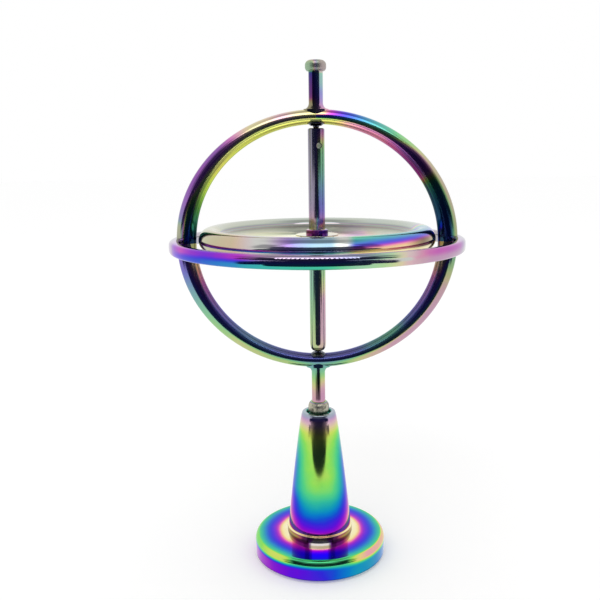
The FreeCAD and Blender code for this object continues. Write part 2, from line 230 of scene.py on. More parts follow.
class Outline:
    """Outline of a turned piece, as radius and height, sampled so finely that it shades smooth."""

    def __init__(self, radius, height):
        self.points = [(radius, height)]

    def to(self, radius, height, steps=1):
        """Straight on, with a short face at each end that keeps the long one flat."""
        start = self.points[-1]
        length = math.dist(start, (radius, height))
        ends = min(END_FACE / length, 0.25)
        shares = [ends] + [i / steps for i in range(1, steps)] + [1 - ends, 1.0]
        for share in shares:
            self.points.append((start[0] + (radius - start[0]) * share,
                                start[1] + (height - start[1]) * share))
        return self

    def across(self, radius, steps=1):
        """Level, inwards or outwards."""
        return self.to(radius, self.points[-1][1], steps)

    def up(self, height, steps=1):
        """Straight up or down."""
        return self.to(self.points[-1][0], height, steps)

    def bend(self, radius, height, steps, level_first=False):
        """Quarter round or quarter ellipse. It leaves upright, or level, and arrives the other
        way."""
        start, end = self.points[-1], (radius, height)
        centre = (start[0], height) if level_first else (radius, start[1])
        for i in range(1, steps + 1):
            turn = math.pi / 2 * i / steps
            c, s = math.cos(turn), math.sin(turn)
            self.points.append(tuple(centre[k] + (start[k] - centre[k]) * c
                                     + (end[k] - centre[k]) * s for k in (0, 1)))
        return self

    def swing(self, radius, height, centre, steps, clockwise=False):
        """Arc of a circle about a centre."""
        start = self.points[-1]
        first = math.atan2(start[1] - centre[1], start[0] - centre[0])
        last = math.atan2(height - centre[1], radius - centre[0])
        reach = math.dist(start, centre)
        sweep = (first - last if clockwise else last - first) % math.tau
        for i in range(1, steps + 1):
            turn = first + (-1 if clockwise else 1) * sweep * i / steps
            self.points.append((centre[0] + reach * math.cos(turn),
                                centre[1] + reach * math.sin(turn)))
        return self

    def curve(self, pull, push, end, steps=48):
        """Smooth curve that leaves towards one point and arrives from another."""
        start = self.points[-1]
        corners = (start, pull, push, end)
        for i in range(1, steps + 1):
            t = i / steps
            weights = ((1 - t) ** 3, 3 * t * (1 - t) ** 2, 3 * t * t * (1 - t), t ** 3)
            self.points.append(tuple(sum(weight * corner[k] for weight, corner
                                         in zip(weights, corners)) for k in (0, 1)))
        return self

    def mirrored(self, height):
        """The same outline upside down about a height."""
        other = Outline(0, 0)
        other.points = [(r, 2 * height - z) for r, z in self.points]
        return other


def placed(name, data):
    """New object in the scene."""
    obj = bpy.data.objects.new(name, data)
    bpy.context.scene.collection.objects.link(obj)
    return obj


def new_mesh(name, vertices, faces):
    """Mesh from its points and its faces."""
    mesh = bpy.data.meshes.new(name)
    mesh.from_pydata(vertices, [], faces)
    return mesh


def smooth(mesh, sharp):
    """Smooth shading up to an angle."""
    for face in mesh.polygons:
        face.use_smooth = True
    mesh.set_sharp_from_angle(angle=math.radians(sharp))


def settled(name, mesh, sharp=SHARP):
    """Object from a mesh, once its doubles are merged and its faces point outwards."""
    shell = bmesh.new()
    shell.from_mesh(mesh)
    bmesh.ops.remove_doubles(shell, verts=shell.verts, dist=TOUCHING)
    bmesh.ops.recalc_face_normals(shell, faces=shell.faces)
    shell.to_mesh(mesh)
    shell.free()
    smooth(mesh, sharp)
    return placed(name, mesh)


def turned(name, outline, steps=None, sharp=SHARP, limit=None):
    """Piece that an outline sweeps about the Z axis. It closes on the axis or on itself. A limit
    gives the largest radius at each turn."""
    steps = steps or settings().round_steps
    vertices = []
    rings = []
    for radius, height in outline.points:
        if radius < TOUCHING:
            rings.append([len(vertices)] * steps)
            vertices.append((0.0, 0.0, height))
            continue
        rings.append(list(range(len(vertices), len(vertices) + steps)))
        for i in range(steps):
            turn = math.tau * i / steps
            reach = min(radius, limit(turn)) if limit else radius
            vertices.append((reach * math.cos(turn), reach * math.sin(turn), height))
    if outline.points[0][0] >= TOUCHING:
        rings.append(rings[0])
    faces = []
    for low, high in zip(rings, rings[1:]):
        for i in range(steps):
            j = (i + 1) % steps
            corners = [low[i], low[j], high[j], high[i]]
            unique = [c for k, c in enumerate(corners) if c not in corners[:k]]
            if len(unique) > 2:
                faces.append(unique)
    return settled(name, new_mesh(name, vertices, faces), sharp)


def bored(obj, holes):
    """Cuts round holes, each given by its two ends and its radius, and keeps the piece a mesh."""
    cutters = []
    for start, end, radius in holes:
        along = end - start
        turn = along.to_track_quat("Z", "Y").to_matrix().to_4x4()
        shell = bmesh.new()
        bmesh.ops.create_cone(shell, cap_ends=True, segments=48, radius1=radius, radius2=radius,
                              depth=along.length,
                              matrix=Matrix.Translation((start + end) / 2) @ turn)
        mesh = bpy.data.meshes.new("hole")
        shell.to_mesh(mesh)
        shell.free()
        cutters.append(placed("hole", mesh))
        cut = obj.modifiers.new("hole", "BOOLEAN")
        cut.operation = "DIFFERENCE"
        cut.solver = "EXACT"
        cut.object = cutters[-1]
    smooth(plain_mesh(obj), SHARP)
    for cutter in cutters:
        bpy.data.objects.remove(cutter)


def plain_mesh(obj):
    """Turns what the modifiers show into the object's own mesh and drops the modifiers."""
    bpy.context.view_layer.update()
    shown = obj.evaluated_get(bpy.context.evaluated_depsgraph_get())
    mesh = bpy.data.meshes.new_from_object(shown)
    obj.modifiers.clear()
    obj.data = mesh
    mesh.name = obj.name
    return mesh


def dress(obj, nodes, body, material):
    """Gives a piece its material, hides the CAD nodes that it stands for, and makes it move with
    their body.
    """
    obj.data.materials.clear()
    obj.data.materials.append(material)
    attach(obj, body)
    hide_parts(*nodes)


# ---- node trees ----------------------------------------------------------------------

def sign(operation, swapped=False):
    """Arithmetic sign between two values, which adds a Math node."""
    def act(self, other):
        terms = (other, self) if swapped else (self, other)
        return self.nodes.maths(operation, *terms)
    return act


class Value:
    """An output of a node. Arithmetic on it adds Math nodes to its tree."""

    def __init__(self, nodes, socket):
        self.nodes = nodes
        self.socket = socket

    __add__ = __radd__ = sign("ADD")
    __sub__ = sign("SUBTRACT")
    __rsub__ = sign("SUBTRACT", swapped=True)
    __mul__ = __rmul__ = sign("MULTIPLY")
    __truediv__ = sign("DIVIDE")
    __rtruediv__ = sign("DIVIDE", swapped=True)
    __pow__ = sign("POWER")
    __gt__ = sign("GREATER_THAN")
    __lt__ = sign("LESS_THAN")
    __or__ = sign("MAXIMUM")
    arctan2 = sign("ARCTAN2")

    def __neg__(self):
        return 0 - self

    def __abs__(self):
        return self.maths("ABSOLUTE")

    def maths(self, operation):
        return self.nodes.maths(operation, self)

    def step(self, low, high):
        """0 below low, 1 above high and smooth between them."""
        return self.nodes.add("ShaderNodeMapRange", {"interpolation_type": "SMOOTHSTEP"},
                              {"Value": self, "From Min": low, "From Max": high})

    def fall(self, low, high):
        """1 below low, 0 above high and smooth between them."""
        return 1 - self.step(low, high)

    def near(self, low, high):
        """1 as far as low on both sides of zero, 0 past high."""
        return abs(self).fall(low, high)

    def band(self, start, full, fading, end):
        """1 from full to fading, 0 before start and past end."""
        return self.step(start, full) * self.fall(fading, end)

    def along(self, stops):
        """Smooth curve through the stops {place: amount}. Amounts lie between 0 and 2, and the
        curve goes on straight past its first and last stop."""
        low, high = min(stops), max(stops)
        shape = [((place - low) / (high - low), amount / 2) for place, amount in stops.items()]
        share = (self - low) / (high - low)
        return 2 * self.nodes.add("ShaderNodeFloatCurve", {"points": shape}, {"Value": share})


def mix(share, low, high):
    """From one amount to another by a share."""
    return low + (high - low) * share


def span(x, y):
    """Distance from the axis."""
    return (x * x + y * y) ** 0.5


def quarters(measure, right, above, *tables):
    """Curve along a measure for each quarter: lower left, lower right, upper left, upper right."""
    curves = [measure.along(table) for table in tables]
    return mix(above, mix(right, *curves[:2]), mix(right, *curves[2:]))


class Nodes:
    """A node tree under construction."""

    def __init__(self, tree):
        self.tree = tree
        tree.nodes.clear()

    def add(self, kind, settings=None, sockets=None, out=0):
        """Adds a node. Settings come first, then the values or links of its sockets."""
        node = self.tree.nodes.new(kind)
        for key, setting in (settings or {}).items():
            if key == "stops":
                self.fill_ramp(node.color_ramp, setting)
            elif key == "points":
                self.fill_curve(node.mapping, setting)
            else:
                setattr(node, key, setting)
        for key, value in (sockets or {}).items():
            if isinstance(value, Value):
                self.tree.links.new(value.socket, node.inputs[key])
            else:
                node.inputs[key].default_value = value
        if node.outputs:
            return Value(self, node.outputs[out])

    @staticmethod
    def fill_ramp(ramp, stops):
        while len(ramp.elements) < len(stops):
            ramp.elements.new(0.5)
        for element, (place, rgb) in zip(ramp.elements, stops):
            element.position = place
        for element, (place, rgb) in zip(ramp.elements, stops):
            element.color = (*rgb, 1.0)

    @staticmethod
    def fill_curve(mapping, points):
        curve = mapping.curves[0]
        for place, amount in points[1:-1]:
            curve.points.new(place, amount)
        for point, (place, amount) in zip(curve.points, points):
            point.location = (place, amount)
            point.handle_type = "AUTO_CLAMPED"
        mapping.update()

    def maths(self, operation, *terms):
        return self.add("ShaderNodeMath", {"operation": operation}, dict(enumerate(terms)))

    def scaled(self, vector, share):
        return self.add("ShaderNodeVectorMath", {"operation": "SCALE"},
                        {"Vector": vector, "Scale": share})

    def joined(self, *parts):
        """Vector or point from its three parts."""
        return self.add("ShaderNodeCombineXYZ", None, dict(enumerate(parts)))

    def parted(self, vector):
        return [self.add("ShaderNodeSeparateXYZ", None, {0: vector}, out=i) for i in range(3)]

    def place(self):
        """Object coordinates in millimetres."""
        return self.scaled(self.add("ShaderNodeTexCoord", out="Object"), 1 / MM)

    def ramp(self, stops, place):
        """Colour at a place in a series of stops (place, colour)."""
        return self.add("ShaderNodeValToRGB", {"stops": stops}, {"Fac": place})

    def noise(self, vector, scale, detail):
        """Noise from 0 to 1, at about scale features in a millimetre."""
        return self.add("ShaderNodeTexNoise", {"noise_dimensions": "3D"},
                        {"Vector": vector, "Scale": scale, "Detail": detail})

    def light_path(self, question):
        return self.add("ShaderNodeLightPath", out=question)

    def glow(self, strength):
        return self.add("ShaderNodeEmission", None, {"Strength": strength})

    def clear(self):
        return self.add("ShaderNodeBsdfTransparent")

    def mixed_shader(self, share, low, high):
        return self.add("ShaderNodeMixShader", None, {0: share, 1: low, 2: high})

    def output(self, shader):
        self.add("ShaderNodeOutputMaterial", None, {"Surface": shader})

    def surface(self, tint, metallic, roughness, height, strength, depth):
        """Finishes a material with a bumpy surface. The depth of its bumps is in millimetres."""
        bump = self.add("ShaderNodeBump", None, {"Strength": strength, "Distance": depth * MM,
                                                 "Height": height})
        self.output(self.add("ShaderNodeBsdfPrincipled", None, {
            "Base Color": tint, "Metallic": metallic, "Roughness": roughness, "Normal": bump}))


def new_material(name):
    """Empty material and its node tree."""
    material = bpy.data.materials.new(name)
    material.use_nodes = True
    return material, Nodes(material.node_tree)


# ---- finishes ------------------------------------------------------------------------

def shade(code):
    """Linear colour of a six-figure colour code."""
    values = [int(code[i:i + 2], 16) / 255 for i in (0, 2, 4)]
    return tuple(v / 12.92 if v <= 0.04045 else ((v + 0.055) / 1.055) ** 2.4 for v in values)


# Colours of the oxide film from thin to thick, each at its place in the series.
FILM = {
    0.00: "FBF3CE", 0.05: "F6E6A4", 0.11: "F2B98C", 0.16: "EC7FB0", 0.22: "C22BBE",
    0.28: "8E0CCB", 0.34: "5A12DC", 0.40: "3029DA", 0.46: "1350D2", 0.52: "0A7ECB",
    0.58: "16A2B4", 0.64: "33BE9E", 0.70: "58D484", 0.76: "8EE05E", 0.81: "CBE062",
    0.86: "E8CC84", 0.91: "E79DB4", 0.97: "CE63BE", 1.04: "9E52C0", 1.12: "7B6FBA",
    1.20: "7093B4", 1.28: "86AE9C", 1.36: "AEB684", 1.44: "CDB092", 1.52: "CF93AE",
    1.60: "A284B4",
}
FILM_END = max(FILM)
FILM_STOPS = [(place / FILM_END, shade(code)) for place, code in FILM.items()]

# How fine the unevenness of the film, the smudges and the marks are, in features a millimetre.
# The marks of the lathe are fine across and long round the piece, in features a radian.
WAVER_SCALE = 0.16
SMUDGE_SCALE = 0.22
POLISH_SCALE = 1.6
LATHE_SCALE = 7
ROUND_SCALE = 0.8
# Depth of all marks in millimetres, and how much rougher a scratch is.
MARK_DEPTH = 0.02
SCRATCH_DULLS = 0.02


def film_metal(name, film_over, lengthwise=False):
    """Polished metal under an oxide film that film_over describes. The lathe leaves its marks
    round the piece, unless it is polished lengthwise."""
    finish = settings().finish
    material, nodes = new_material(name)
    vector = nodes.place()
    x, y, z = nodes.parted(vector)
    place, pale, light, dull = film_over(x, y, z)

    waver = nodes.noise(vector, WAVER_SCALE, 3.0) - 0.5
    film = place + waver * (2 * finish.film_waver) + finish.film_shift
    series = nodes.ramp(FILM_STOPS, film / FILM_END)
    paled = nodes.add("ShaderNodeMix", {"data_type": "RGBA"},
                      {0: pale, 6: series, 7: (*finish.pale, 1.0)}, out=2)

    if lengthwise:
        along_marks = nodes.scaled(vector, POLISH_SCALE)
    else:
        along_marks = nodes.joined(span(x, y) * LATHE_SCALE, z * LATHE_SCALE,
                                   x.arctan2(y) * ROUND_SCALE)
    marks = nodes.noise(along_marks, 1.0, 3.0)
    scratch = nodes.noise(along_marks, 2.0, 1.0).step(0.62, 0.7)
    smudge = nodes.noise(vector, SMUDGE_SCALE, 4.0).step(0.45, 0.75)
    roughness = finish.gloss + smudge * finish.smudges + scratch * SCRATCH_DULLS + dull
    # The film's colour is scaled by light: painted light and painted shade, standing in for
    # reflections and shade.
    nodes.surface(nodes.scaled(paled, light), 1.0, roughness, marks, finish.turning_marks,
                  MARK_DEPTH)
    return material


def plain_metal(name, rgb, roughness, marks_scale, cloud_scale=0.6, cloud_dulls=0.15):
    """Bare or plated metal with smudges and fine marks."""
    material, nodes = new_material(name)
    vector = nodes.place()
    cloud = nodes.noise(vector, cloud_scale, 4.0)
    tint = nodes.ramp([(0.25, [0.75 * c for c in rgb]),
                       (0.75, [min(1.0, 1.15 * c) for c in rgb])], cloud)
    marks = nodes.noise(vector, marks_scale, 3.0)
    nodes.surface(tint, 1.0, roughness + cloud * cloud_dulls, marks, 0.1, MARK_DEPTH)
    return material


def foam(name, rgb, pore_scale=3.5, pore_depth=0.1):
    """Closed-cell foam: dull, with fine pores."""
    material, nodes = new_material(name)
    pores = nodes.add("ShaderNodeTexVoronoi", None,
                      {"Vector": nodes.place(), "Scale": pore_scale})
    tint = nodes.ramp([(0.0, [0.45 * c for c in rgb]), (0.5, rgb)], pores)
    nodes.surface(tint, 0.0, 0.85 + pores * 0.1, pores, 0.5, pore_depth)
    return material


# ---- the film over each piece --------------------------------------------------------
# Each gives the film's place in the series, how far it pales, how far painted light and painted
# shade scale its colour, and how much rougher than polished it is. Places are millimetres, and
# turns degrees.

def in_mm(length):
    """A length from the settings, as the films measure it."""
    return length / MM


def column_film(x, y, z):
    """Thins from the shoulder down to the flange, and towards the two sides."""
    down = z.along({
        5.1: 0.05, 6.6: 0.04, 6.9: 0.07, 7.2: 0.16, 7.7: 0.26, 8.8: 0.34, 10.2: 0.41, 11.4: 0.48,
        12.8: 0.55, 14.4: 0.62, 16.2: 0.7, 18: 0.75, 25: 0.78, 30: 0.8, 31.5: 0.84, 32.7: 0.9,
        33.6: 0.98, 34.3: 1.12, 34.8: 1.2})
    side = x * x / (x * x + y * y + 0.01)
    drop = side * (0.15 + 0.85 * side) * z.along({
        6.6: 0.0, 8.5: 0.26, 11: 0.3, 15: 0.36, 20: 0.36, 25: 0.26, 29: 0.12, 32: 0.03, 34.8: 0.0})
    front = y < 0.0
    # painted highlight: a pale patch low on the front of the flange, a bright reflection painted
    # into the colour
    painted_bright_reflection = x.near(2.3, 3.0) * front * z.fall(5.9, 6.2)
    # painted shade: the flange, the hollow at its foot and the inside of the cup are darkened in
    # the colour
    flange = z.fall(6.6, 6.9) * (1 - painted_bright_reflection)
    hollow = z.fall(5.7, 6.1) * (1 - painted_bright_reflection)
    cup = (span(x, y) < 3.0) * (z > 33.0)
    # painted dark reflection: a dark streak down the front of the column's shoulder
    painted_dark_streak = x.near(1.5, 2.1) * front * z.band(26.0, 30.0, 33.3, 33.8)
    pale = z.step(30.5, 33.0) * 0.5 * (1 - cup) + flange * 0.3 + painted_bright_reflection * 0.9
    light = (1 - flange * 0.5 - cup * 0.45) * (1 - painted_dark_streak * 0.4) * (1 - hollow * 0.6)
    return mix(cup, down - drop, 0.63), pale, light, painted_dark_streak * 0.1


def base_film(x, y, z):
    """Thickens from the column to the edge, and thins again down the wall."""
    stand = settings().stand
    path = span(x, y) + (in_mm(stand.base_height) - z)
    top = path.along({
        7.6: 0.02, 8.8: 0.06, 9.3: 0.13, 9.9: 0.22, 10.5: 0.29, 11.2: 0.35, 12: 0.43, 12.8: 0.51,
        13.6: 0.6, 14.4: 0.68})
    edge = x.along({-15.4: 0.72, -11: 0.8, -8: 0.8, -6: 0.7, 5: 0.68, 8.5: 0.84, 12: 0.9,
                    15.4: 0.86})
    wall = x.along({-15.4: 0.24, -10: 0.3, -4: 0.36, 1: 0.4, 5: 0.49, 10: 0.56, 15.4: 0.5})
    front = y < 0.0
    top = mix(x.near(4.5, 7.5) * front, top, top | 0.27)
    upper = mix(path.step(14.2, 15.0), top, edge)
    # painted highlight: a pale patch on the base in front of the column's flange, a bright
    # reflection painted into the colour
    painted_bright_reflection = x.near(2.0, 2.7) * front * path.fall(9.8, 10.3)
    # painted dark reflection along the front of the rounded edge, and painted shade darkening the
    # bottom of the wall
    line = x.near(5.8, 7.0) * front * path.band(15.1, 15.3, 15.85, 16.05)
    light = (1 - path.step(19.5, 19.9) * 0.8) * (1 - line * 0.85)
    return mix(path.step(16.2, 17.6), upper, wall), painted_bright_reflection * 0.85, light, 0.0


def upright_film(x, y, z):
    """Different in each quarter, along the outside and along the inside of the ring."""
    rings = settings().rings
    up = z - in_mm(rings.centre_height)
    turn = up.arctan2(x) * math.degrees(1)
    right, above = x > 0.0, up > 0.0
    outside = quarters(
        turn, right, above,
        {-180: 0.3, -170: 0.36, -163: 0.5, -156: 0.61, -147: 0.7, -137: 0.76, -124: 0.81,
         -108: 0.78, -97: 0.72, -90: 0.6},
        {-90: 0.62, -78: 0.76, -68: 0.86, -56: 0.91, -40: 0.94, -22: 0.91, -15: 0.84, -9: 0.74,
         -3: 0.64, 0: 0.6},
        {90: 0.83, 98: 0.86, 106: 0.92, 113: 0.87, 119: 0.86, 126: 0.93, 134: 1.01, 150: 1.04,
         164: 1.07, 169: 1.12, 173: 1.34, 180: 1.38},
        {0: 0.8, 8: 0.82, 18: 0.85, 32: 0.86, 44: 0.78, 54: 0.68, 63: 0.59, 71: 0.49, 77: 0.38,
         81: 0.28, 84: 0.2, 87: 0.08, 90: 0.03})
    inside = quarters(
        turn, right, above,
        {-180: 0.03, -168: 0.12, -158: 0.24, -148: 0.33, -138: 0.42, -125: 0.5, -110: 0.44,
         -98: 0.38, -90: 0.42},
        {-90: 0.44, -75: 0.4, -62: 0.56, -50: 0.6, -40: 0.44, -28: 0.32, -20: 0.26, -12: 0.12,
         0: 0.04},
        {90: 0.82, 125: 0.82, 145: 0.81, 154: 0.79, 161: 0.76, 169: 0.66, 180: 0.46},
        {0: 0.48, 10: 0.5, 18: 0.54, 26: 0.66, 34: 0.98, 44: 1.02, 52: 0.97, 64: 0.94, 74: 0.9,
         81: 0.84, 90: 0.82})
    middle_x = in_mm(rings.outer_x + rings.inner_x) / 2
    middle_z = in_mm(rings.outer_z + rings.inner_z) / 2
    reach = ((x / middle_x) ** 2 + (up / middle_z) ** 2) ** 0.5
    edge = turn.along({-180: 0.0, -12: 0.0, -4: 0.035, 38: 0.035, 58: 0.0, 150: 0.0, 164: 0.02,
                       180: 0.02})
    out = (reach - edge).step(0.975, 1.025)
    pale_outside = turn.along({
        -180: 0.3, -150: 0.4, -90: 0.35, -40: 0.45, 0: 0.5, 20: 0.6, 42: 0.45, 60: 0.2, 85: 0.1,
        92: 0.3, 104: 0.45, 118: 0.45, 130: 0.15, 150: 0.1, 180: 0.5})
    # painted light and painted shade: how bright the film looks along the outside and the inside
    # of the ring, by turn
    painted_light_outside = turn.along({
        -180: 0.8, -150: 0.9, -95: 0.8, -85: 0.8, -40: 0.85, 0: 0.6, 15: 0.65, 35: 0.8, 60: 1.0,
        125: 1.0, 138: 0.75, 152: 0.75, 165: 0.9, 180: 0.6})
    painted_light_inside = turn.along({
        -180: 0.8, -160: 0.7, -140: 0.8, -90: 0.6, -30: 0.7, 0: 0.4, 10: 0.28, 24: 0.35, 38: 0.5,
        52: 0.9, 70: 1.1, 140: 1.15, 156: 0.85, 165: 0.4, 180: 0.3})
    pale = mix(out, mix(above, 0.3, 0.1), pale_outside)
    return mix(out, inside, outside), pale, mix(out, painted_light_inside, painted_light_outside), 0.05


def level_film(x, y, z):
    """Runs through the series from left to right, and is thinner above than below."""
    rings = settings().rings
    above = (z - in_mm(rings.centre_height - rings.level_drop)).step(-0.6, 0.7)
    left = x.along({-32.5: 1.14, -31.5: 1.09, -30: 1.04})
    lower = x.along({-30: 0.3, -27: 0.4, -23: 0.45, -18: 0.52, -12: 0.59, -2: 0.64, 6: 0.69,
                     11: 0.75, 15: 0.83, 17: 0.9})
    upper = x.along({-30: 0.28, -27: 0.25, -22: 0.3, -17: 0.27, -13: 0.24, -6: 0.26, 4: 0.32,
                     8: 0.48, 12: 0.68, 17: 0.89})
    right = x.along({17: 0.9, 19: 0.93, 23: 0.975, 29: 0.99, 32.5: 1.14})
    place = mix(x > 17.0, mix(x > -30.0, left, mix(above, lower, upper)), right)
    tips = abs(x).step(29.0, 32.2)
    # painted shade: the upper front of the ring darker, and its right end a little darker
    painted_shade_brow = (-x).fall(8.0, 15.0) * x.fall(17.5, 21.0) * above
    seam = above * (1 - above) * 4 * x.band(6.0, 12.0, 17.0, 19.0)
    hem = (1 - above) * x.step(2.0, 9.0) * 0.45
    pale = 0.05 + tips * 0.6 + (painted_shade_brow * 0.6 | seam * 0.9 + hem)
    light = 1 - painted_shade_brow * 0.4 * x.fall(8.0, 15.0) - x.step(17.0, 20.0) * 0.12
    return place, mix(y.step(0.0, 6.0), pale, 0.85), light, 0.0


def rotor_level():
    """Height of the disc's middle, in millimetres."""
    return in_mm(settings().rings.centre_height + settings().rotor.raised)


def rotor_film(x, y, z):
    """Runs across the bead from left to right. The dish is thin at the left and thicker right."""
    def patch(place_x, place_y, half_x, half_y):
        return (((x - place_x) / half_x) ** 2 + ((y - place_y) / half_y) ** 2).fall(0.0, 1.3)

    radius = span(x, y)
    left = x.along({-26.1: 1.34, -20: 1.4, -15: 1.46, -11: 1.58})
    middle = x.along({-11: 1.03, -7: 1.06, -3.5: 1.14, 0: 1.22, 6: 1.24})
    rise = z - rotor_level() - (x - 8) * 0.05
    right = rise.along({-2.6: 0.05, -1.2: 0.05, -0.3: 0.08, 0.15: 0.12, 0.5: 0.19, 0.8: 0.3,
                        1.15: 0.42, 1.6: 0.53, 2.2: 0.62})
    bead = mix(x > -11.0, left, mix(x > 5.0, middle, right))
    far_rim = x.along({-26.1: 1.36, 0: 1.3, 26.1: 1.3})
    dish = x.along({-22: 0.0, -13: 0.06, -6: 0.05, 2: 0.04, 5: 0.12, 8.5: 0.21, 12: 0.12, 16: 0.03,
                    22: 0.0})
    yellow = patch(-9.0, 2.0, 8.0, 7.0)
    magenta = patch(8.5, 3.0, 6.0, 7.0)
    far = y.step(-2.0, 5.0)
    outside = radius.step(20.8, 21.6)
    seams = (x + 11.0).near(0.5, 6.0) + (x - 5.0).near(0.4, 2.5)
    pale = mix(outside, 0.7 - (yellow | magenta) * 0.65, mix(far, 0.15 + seams * 0.8, 0.75))
    # painted shade in the groove beside the bead, on the far side
    painted_groove_shade = (radius - 21.3).near(0.1, 0.5) * far
    # painted shade on the right front of the bead, where a dark reflection is painted
    shadow = x.step(17.0, 22.0) * y.fall(-14.0, -4.0) * (z - 75.6).near(0.6, 1.3)
    # painted light: colour brighter than itself over the bead and dish, more on the yellow patch
    light = (mix(outside, 1.1, 1.05) - shadow * 0.75 - painted_groove_shade * 0.35
             + (1 - outside) * yellow * 0.3)
    return mix(outside, dish, mix(far, bead, far_rim)), pale, light, 0.02


def axle_film(x, y, z):
    """Above the disc and below it, and along its left and right side."""
    above = z > rotor_level()
    right = x.step(-0.3, 0.5)
    place = quarters(
        z, right, above,
        {49: 0.8, 56: 0.77, 63: 0.7, 72: 0.6},
        {49: 0.86, 54: 0.92, 60: 0.93, 64: 0.84, 68: 0.73, 72: 0.66},
        {76: 0.84, 78: 0.86, 80.5: 1.0, 84: 1.08, 98.9: 1.1},
        {76: 0.03, 77.5: 0.08, 79.5: 0.26, 82: 0.4, 86: 0.54, 90: 0.66, 94: 0.72, 98.9: 1.05})
    pale = mix(above, 0.5, mix(right, 0.6, 0.35))
    # painted shade: darker towards the upper end above the disc, and inside the string hole
    light = mix(above, 0.85, z.along({76: 0.9, 80: 0.75, 93: 0.6, 98.9: 0.5}))
    inside_hole = span(x, y) < in_mm(settings().rotor.axle_radius) - 0.09
    return place, pale, light * (1 - inside_hole * 0.75), 0.03


def finial_film(x, y, z):
    """The knobs are duller than the stems, and the lower one is darkened in patches by painted
    shade.
    """
    nodes = x.nodes
    above = z > rotor_level()
    right = x.step(-0.9, 1.1)
    stems = quarters(
        z, right, above,
        {33.6: 0.64, 36: 0.8, 37.5: 0.91, 40: 0.89, 42: 0.8, 44.5: 0.68, 46.5: 0.55},
        {33.6: 0.86, 36: 0.92, 39: 0.95, 41.5: 0.9, 44: 0.74, 46.5: 0.6},
        {102: 0.03, 104: 0.05, 105.5: 0.24, 108: 0.3, 110.2: 0.4, 110.7: 0.68, 112.4: 0.74,
         113.1: 0.9},
        {102: 0.1, 104: 0.26, 105.5: 0.36, 108: 0.6, 110.2: 0.66, 110.7: 1.5, 113.1: 1.44})
    foot = z.fall(36.9, 37.3)
    knob = z.step(110.5, 110.9) + foot
    # painted dark reflection down the front of the lower stem
    painted_dark_core = (x + 0.1).near(0.4, 0.7) * (y < 0.0) * z.band(37.3, 38.2, 42.0, 46.0)
    # painted shade in patches of noise over the lower knob
    mottled = foot * nodes.noise(nodes.joined(x, y, z), 0.9, 3.0).step(0.46, 0.6)
    pale = mix(knob, mix(above, 0.35, mix(right, 0.2, 0.5)), 0.65)
    # painted shade: the left side of the upper stem darker
    light = mix(knob, mix(above, 0.85, mix(right, 0.32, 1.0)), 0.75) * (1 - painted_dark_core * 0.75)
    return (mix(foot, stems, 0.02), pale, light - mottled * 0.55,
            knob * 0.32 - mottled * 0.15)


def collar_film(x, y, z):
    """Purple, with painted shade on its side and a paler upper face lit by painted light."""
    rotor = settings().rotor
    top = z.step(76.9, 77.0)
    place = 0.24 + x / in_mm(rotor.collar_radius) * 0.06
    # painted light and shade: the side at 0.38 of the colour, the upper face nearly full
    return place, 0.1 + top * 0.5, 0.38 + top * 0.6, 0.03


# ---- pieces of the stand -------------------------------------------------------------

class GYROSCOPE_OT_stand_base(bpy.types.Operator):
    """Turned base with its rounded edge, and the foam pad under it"""
    bl_idname = "gyroscope.stand_base"
    bl_label = "Base and Pad"

    def execute(self, context):
        s = context.scene.gyroscope.stand
        finish = context.scene.gyroscope.finish
        chamfer = 0.35 * MM
        recess = s.pad_radius + 0.05 * MM
        foot = Outline(0, s.pad_thickness).across(recess).up(s.base_underside)
        foot.across(s.base_radius - chamfer).to(s.base_radius, s.base_underside + chamfer)
        foot.up(s.base_height - s.edge_drop)
        foot.bend(s.base_radius - s.edge_run, s.base_height, steps=24)
        crown = s.base_height + s.crown
        level_until, steep_from = 12.0 * MM, 9.5 * MM
        under_foot = s.foot_radius - 0.7 * MM
        foot.curve((level_until, s.base_height), (steep_from, s.base_height + 0.05 * MM),
                   (under_foot, crown), steps=32)
        base = turned("base_disc", foot.across(0))
        dress(base, ["stand_base"], "stand",
              film_metal("film_on_base", base_film))

        rounding = 0.12 * MM
        edge = Outline(0, 0).across(s.pad_radius - rounding)
        edge.bend(s.pad_radius, rounding, steps=4, level_first=True)
        edge.up(s.pad_thickness).across(0)
        pad = turned("foam_pad", edge, steps=128)
        dress(pad, ["base_pad"], "stand", foam("pad_foam", tuple(finish.foam)))
        return {"FINISHED"}


class GYROSCOPE_OT_column(bpy.types.Operator):
    """Tapered column with its flanged foot and the cup for the gyroscope"""
    bl_idname = "gyroscope.column"
    bl_label = "Column"

    def execute(self, context):
        s = context.scene.gyroscope.stand
        foot_top = s.base_height + s.foot_height
        taper = foot_top + s.column_fillet
        lip = s.rim_height - s.lip_round
        lip_outer = s.cup_radius + s.lip_width
        floor = s.rim_height - s.cup_depth
        seat = s.base_height + 0.75 * s.crown
        line = Outline(0, seat).across(s.foot_radius).up(foot_top - s.foot_round)
        line.curve((s.foot_radius, foot_top), (s.column_radius, foot_top),
                   (s.column_radius, taper), steps=16)
        line.curve((s.column_radius, taper + s.column_pull),
                   (s.shoulder_radius, s.rim_height - s.shoulder_drop), (lip_outer, lip))
        line.bend(lip_outer - s.lip_round, s.rim_height, steps=10)
        line.across(s.cup_radius + s.lip_round)
        line.bend(s.cup_radius, lip, steps=10, level_first=True)
        line.up(floor + s.cup_round).bend(s.cup_radius - s.cup_round, floor, steps=8)
        column = turned("column_turned", line.across(0))
        dress(column, ["stand_column"], "stand",
              film_metal("film_on_column", column_film))
        return {"FINISHED"}


class GYROSCOPE_OT_base_screw(bpy.types.Operator):
    """Plated finish on the screw inside the base"""
    bl_idname = "gyroscope.base_screw"
    bl_label = "Base Screw"

    def execute(self, context):
        finish = context.scene.gyroscope.finish
        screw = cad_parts["base_screw"]
        screw.data.materials.clear()
        screw.data.materials.append(plain_metal("zinc_screw", tuple(finish.zinc), 0.25, 4.0))
        return {"FINISHED"}


# ---- pieces of the frame -------------------------------------------------------------

